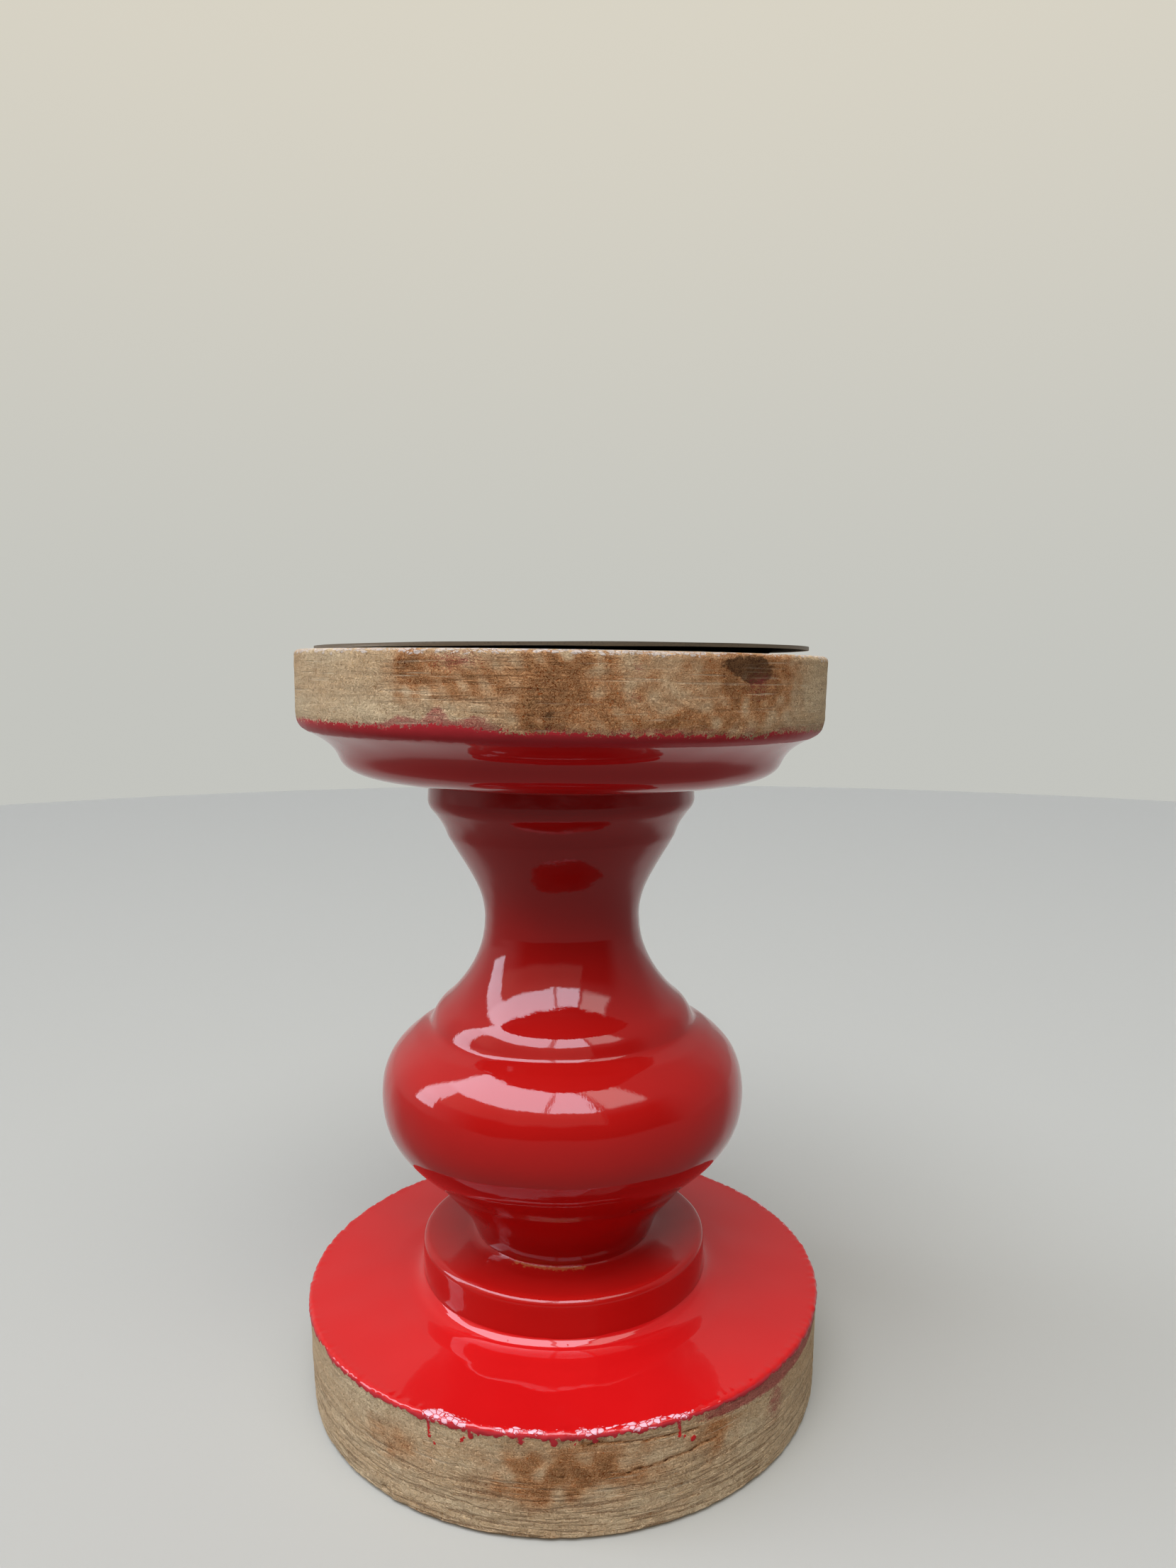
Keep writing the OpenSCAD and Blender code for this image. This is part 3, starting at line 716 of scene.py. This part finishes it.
def screw(node, name, material):
    """Countersunk wood screw with a true helical thread and a cross recess, the size of its CAD node."""
    low, high = [np.array(v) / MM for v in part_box(node)]
    points = mesh_points(node)
    head_down = np.hypot(*points[points[:, 2] < low[2] + 0.1][:, :2].T).max() > 3
    length, head_r = high[2] - low[2], (high[0] - low[0]) / 2
    thread_r, root_r, pitch = 2.5, 1.7, 2.4
    shank_r, shank_l, tip_l = 2.2, 0.36 * length, 5.5
    outline = np.array([[0, 0], [head_r - 0.15, 0], [head_r, -0.15], [head_r, -0.4], [shank_r, -2.65],
                        [shank_r, -shank_l]])
    depth = np.concatenate([-outline[:, 1], np.arange(shank_l + 0.1, length, 0.12), [length]])
    columns = 72
    turn = np.linspace(0, TAU, columns, endpoint=False)
    core = np.interp(depth, [shank_l, shank_l + 0.5, length - tip_l, length],
                     [shank_r, root_r, root_r, 0.02])
    core[:len(outline)] = outline[:, 0]
    phase = (depth[:, None] / pitch - turn[None] / TAU) % 1
    crest = np.clip(1 - abs(phase - 0.5) / 0.22, 0, 1)
    fade = ease(depth, shank_l - 0.2, shank_l + 2.0) * (1 - ease(depth, length - 2.5, length - 0.2))
    radius = core[:, None] + (thread_r - root_r) * crest * fade[:, None] * (depth > shank_l)[:, None]
    height = high[2] - depth if not head_down else low[2] + depth
    spin = turn if not head_down else -turn
    shape = bmesh.new()
    grid = [[shape.verts.new(Vector((r * math.cos(a), r * math.sin(a), z)) * MM)
             for r, a in zip(ring, spin)] for ring, z in zip(radius, height)]
    for upper, lower in zip(grid, grid[1:]):
        for i in range(columns):
            j = (i + 1) % columns
            shape.faces.new((upper[i], lower[i], lower[j], upper[j]))
    shape.faces.new(list(reversed(grid[-1])))
    bmesh.ops.remove_doubles(shape, verts=shape.verts, dist=1e-7)
    bmesh.ops.recalc_face_normals(shape, faces=shape.faces)
    mesh = bpy.data.meshes.new(name)
    shape.to_mesh(mesh)
    shape.free()
    piece = bpy.data.objects.new(name, mesh)
    bpy.context.scene.collection.objects.link(piece)
    cut_cross(piece, height[0] * MM, -1 if not head_down else 1)
    mesh = piece.data
    mesh.polygons.foreach_set("use_smooth", [True] * len(mesh.polygons))
    mesh.set_sharp_from_angle(angle=math.radians(35))
    mesh.materials.append(material)
    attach(piece, "stand")
    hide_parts(node)
    return piece


def cut_cross(piece, face_z, inward, long=2.75, wide=0.5, deep=1.9):
    """Cuts a tapered cross recess into a screw's head."""
    shape = bmesh.new()
    for turned in (0, 1):
        lower, upper = [], []
        for x, y in ((-1, -1), (1, -1), (1, 1), (-1, 1)):
            for ring, reach, level in ((upper, 1.0, -0.3), (lower, 0.55, deep)):
                spot = Vector((x * long * reach, y * wide * (0.4 + 0.6 * reach), 0))
                spot.rotate(Matrix.Rotation(turned * math.pi / 2 + 0.35, 3, "Z"))
                ring.append(shape.verts.new(spot * MM + Vector((0, 0, face_z + inward * level * MM))))
        shape.faces.new(upper)
        shape.faces.new(list(reversed(lower)))
        for i in range(4):
            j = (i + 1) % 4
            shape.faces.new((upper[i], lower[i], lower[j], upper[j]))
    bmesh.ops.recalc_face_normals(shape, faces=shape.faces)
    mesh = bpy.data.meshes.new("cross")
    shape.to_mesh(mesh)
    shape.free()
    cutter = bpy.data.objects.new("cross", mesh)
    bpy.context.scene.collection.objects.link(cutter)
    boolean = piece.modifiers.new("cross", "BOOLEAN")
    boolean.object, boolean.operation, boolean.solver = cutter, "DIFFERENCE", "EXACT"
    boolean.use_self = True
    depsgraph = bpy.context.evaluated_depsgraph_get()
    cut = bpy.data.meshes.new_from_object(piece.evaluated_get(depsgraph))
    piece.modifiers.clear()
    piece.data = cut
    bpy.data.objects.remove(cutter)


def base_felt(material):
    low, high = [np.array(v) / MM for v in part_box("base_felt")]
    radius = high[0]
    soft = 0.4
    outline = np.array([[radius - soft, low[2]], [radius, low[2] + soft],
                        [radius, high[2] - soft], [radius - soft, high[2]]])
    t = Turning("base_felt", lambda r, z: 0.7 if z < 0.5 * high[2] else 6.0, 400, outline, closed=False)
    nap = 0.05 * t.waves(1.4, 81) + 0.04 * t.waves(6, 82)
    lift = np.where(t.z < 0.1, -abs(nap) * (t.r < radius - 1), nap * (t.z < 1.6))
    return t.build("base_felt_cloth", lift, {}, "stand", material)


# ---------------------------------------------------------------- studio

FLOOR_COLOUR = (0.405, 0.40, 0.365)
WALL_LOW = (0.55, 0.555, 0.52)
WALL_HIGH = (0.70, 0.66, 0.56)

# The light of the room round the stand: spans of azimuth and height in degrees, strengths and tints
OPENING_AZIMUTH = (-104.0, 26.0)
SKY_HEIGHT = (42.0, 80.0)
HAZE_HEIGHT = (20.0, SKY_HEIGHT[0])
STRIP_AZIMUTH = (OPENING_AZIMUTH[0], -86.0)
STRIP_HEIGHT = (8.0, SKY_HEIGHT[0])
BAR_AZIMUTH = (-14.0, -9.0)
PANE_AZIMUTH, PANE_HEIGHT = (30.0, 66.0), (44.0, 76.0)
LEFT_AZIMUTH, LEFT_HEIGHT = (-150.0, -78.0), (-4.0, 58.0)
FRONT_AZIMUTH, FRONT_TOP = (-62.0, 74.0), (30.0, 44.0)
BESIDE_AZIMUTH = (-125.0, 125.0)
CEILING_HEIGHT = (60.0, 86.0)
SKY_LIGHT, SKY_TINT = 3.8, (0.80, 0.87, 1.0)
MIRRORED_SKY = 1.9
HAZE_LIGHT, HAZE_TINT = 0.38, (1.0, 0.84, 0.72)
PANE_LIGHT, LEFT_LIGHT, FRONT_LIGHT, TABLE_LIGHT = 2.9, 0.16, 0.035, 0.55
WALL_LIGHT, WALL_TINT = 0.36, (1.0, 0.975, 0.94)
FILL_POWER, FILL_TINT, FILL_SIZE = 7.5, (1.0, 0.97, 0.93), 0.9
FILL_AZIMUTH, FILL_TILT, FILL_AIM, FILL_DISTANCE = -10.0, 30.0, 0.09, 1.15


def sheet_of_revolution(name, profile, material, segments=96):
    """A plain stage surface turned round the vertical axis. The profile is (radius, height) in metres."""
    verts = [(r * math.cos(TAU * k / segments), r * math.sin(TAU * k / segments), z)
             for r, z in profile for k in range(segments)]
    faces = [(i * segments + k, i * segments + (k + 1) % segments,
              (i + 1) * segments + (k + 1) % segments, (i + 1) * segments + k)
             for i in range(len(profile) - 1) for k in range(segments)]
    mesh = bpy.data.meshes.new(name)
    mesh.from_pydata(verts, [], faces)
    mesh.polygons.foreach_set("use_smooth", [True] * len(mesh.polygons))
    stage = bpy.data.objects.new(name, mesh)
    bpy.context.scene.collection.objects.link(stage)
    mesh.materials.append(material)
    return stage


def floor_material():
    sh = Shader("floor")
    sh.set(Base_Color=(*FLOOR_COLOUR, 1.0), Roughness=0.9)
    return sh.material


def backdrop_material():
    """A pale wall that glows instead of being lit, a little warmer and lighter higher up as painted light
    from above. It lights nothing.
    """
    sh = Shader("backdrop")
    split = sh.tree.nodes.new("ShaderNodeSeparateXYZ")
    sh.join(sh.add("TexCoord", {}, "Object"), split.inputs[0])
    tone = sh.blend(sh.step(split.outputs["Z"], 0.0, 1.5), WALL_LOW, WALL_HIGH)
    sh.set(Base_Color=(0.0, 0.0, 0.0, 1.0), Specular_IOR_Level=0.0,
           Emission_Color=tone, Emission_Strength=1.0)
    return sh.material


def world_light():
    """Room light: a bright opening high over the front left, pale walls round the back, a dim front."""
    world = bpy.data.worlds.new("studio")
    bpy.context.scene.world = world
    world.use_nodes = True
    sh = Shader.over(world.node_tree, "Background")
    split = sh.tree.nodes.new("ShaderNodeSeparateXYZ")
    sh.join(sh.add("TexCoord", {}, "Generated"), split.inputs[0])
    x, y, z = split.outputs
    azimuth = sh.times(sh.calc("ARCTAN2", x, sh.times(y, -1.0)), 360 / TAU)
    height = sh.times(sh.calc("ARCSINE", z), 360 / TAU)

    def span(value, low, high, soft):
        rise = sh.step(value, low - soft, low + soft)
        return sh.times(rise, sh.step(value, high - soft, high + soft, (1.0, 0.0)))

    def rest(share):
        return sh.plus(1.0, sh.times(share, -1.0))

    opening = span(azimuth, *OPENING_AZIMUTH, 1.5)
    bar = sh.step(span(azimuth, *BAR_AZIMUTH, 1.0), 0.0, 1.0, (1.0, 0.25))
    sky = sh.times(sh.times(opening, bar), span(height, *SKY_HEIGHT, 1.2))
    haze = sh.times(opening, span(height, *HAZE_HEIGHT, 3.0))
    strip = sh.times(span(azimuth, *STRIP_AZIMUTH, 1.0), span(height, *STRIP_HEIGHT, 1.0))
    mirrored = sh.step(sh.add("LightPath", {}, "Is Glossy Ray"), 0.0, 1.0, (1.0, MIRRORED_SKY))
    sky = sh.times(sh.plus(sky, sh.times(strip, 0.8)), mirrored)
    pane = sh.times(span(azimuth, *PANE_AZIMUTH, 3.0), span(height, *PANE_HEIGHT, 3.0))
    left = sh.times(span(azimuth, *LEFT_AZIMUTH, 14.0), span(height, *LEFT_HEIGHT, 10.0))
    front = sh.times(span(azimuth, *FRONT_AZIMUTH, 14.0), sh.step(height, *FRONT_TOP, (1.0, 0.0)))
    beside = span(azimuth, *BESIDE_AZIMUTH, 14.0)
    wall = sh.times(sh.step(beside, 0.0, 1.0, (1.0, 0.72)), WALL_LIGHT)
    room = sh.plus(sh.times(wall, rest(front)), sh.times(front, FRONT_LIGHT))
    room = sh.plus(room, sh.times(sh.step(height, *CEILING_HEIGHT), -0.3 * WALL_LIGHT))
    for share, light in ((sky, SKY_LIGHT), (haze, HAZE_LIGHT), (pane, PANE_LIGHT), (left, LEFT_LIGHT)):
        room = sh.plus(room, sh.times(share, light))
    above = sh.step(height, -4.0, 0.0)
    table = sh.times(sh.step(beside, 0.0, 1.0, (1.0, 0.4)), TABLE_LIGHT)
    room = sh.plus(sh.times(room, above), sh.times(rest(above), table))
    colour = sh.blend(sky, sh.blend(haze, WALL_TINT, HAZE_TINT), SKY_TINT)
    sh.set(Color=colour, Strength=room)


def fill_light():
    """A large soft lamp high over the front left. It shows in no reflection."""
    area = bpy.data.lights.new("fill", "AREA")
    area.shape, area.size, area.energy, area.color = "DISK", FILL_SIZE, FILL_POWER, FILL_TINT
    lamp = bpy.data.objects.new("fill", area)
    azimuth, tilt = math.radians(FILL_AZIMUTH), math.radians(FILL_TILT)
    turn = Matrix.Rotation(azimuth, 4, "Z") @ Matrix.Rotation(tilt, 4, "X")
    aim, away = Vector((0, 0, FILL_AIM)), Vector((0, 0, FILL_DISTANCE))
    lamp.matrix_world = Matrix.Translation(aim) @ turn @ Matrix.Translation(away)
    lamp.visible_glossy = False
    bpy.context.scene.collection.objects.link(lamp)


def camera():
    """The photograph's viewpoint: close, wide, and nearly level with the dish."""
    place = Vector((0.0, -0.2448, 0.1608))
    pitch, yaw, roll = [math.radians(a) for a in (5.89, 1.41, -0.20)]
    ahead = Vector((math.sin(yaw) * math.cos(pitch), math.cos(yaw) * math.cos(pitch), -math.sin(pitch)))
    right = Vector((math.cos(yaw), -math.sin(yaw), 0))
    up = right.cross(ahead)
    right, up = right * math.cos(roll) + up * math.sin(roll), up * math.cos(roll) - right * math.sin(roll)
    data = bpy.data.cameras.new("camera")
    data.sensor_width, data.lens, data.clip_start = 36.0, 25.08, 0.01
    eye = bpy.data.objects.new("camera", data)
    eye.matrix_world = Matrix.Translation(place) @ Matrix((right, up, -ahead)).transposed().to_4x4()
    bpy.context.scene.collection.objects.link(eye)
    bpy.context.scene.camera = eye


def studio():
    floor_r, wall_r = 1.3, 1.7
    curve = [(floor_r + (wall_r - floor_r) * math.sin(a), (wall_r - floor_r) * (1 - math.cos(a)))
             for a in np.linspace(0, math.pi / 2, 13)]
    floor = sheet_of_revolution("floor", [(0.0, 0.0), (0.3, 0.0), (floor_r, 0.0)], floor_material())
    floor.visible_diffuse = floor.visible_glossy = False
    wall = sheet_of_revolution("backdrop", curve + [(wall_r, 2.2)], backdrop_material())
    wall.visible_diffuse = wall.visible_glossy = wall.visible_shadow = wall.visible_transmission = False
    world_light()
    fill_light()
    bpy.context.scene.view_settings.view_transform = "Standard"


# ---------------------------------------------------------------- assembly

wood = painted_wood()
base_disc(wood)
stem(enamelled_wood())
top_disc(wood)
candle_dish(black_metal())
steel = screw_steel()
screw("base_screw", "base_screw_steel", steel)
screw("top_screw", "top_screw_steel", steel)
base_felt(felt())
camera()
studio()
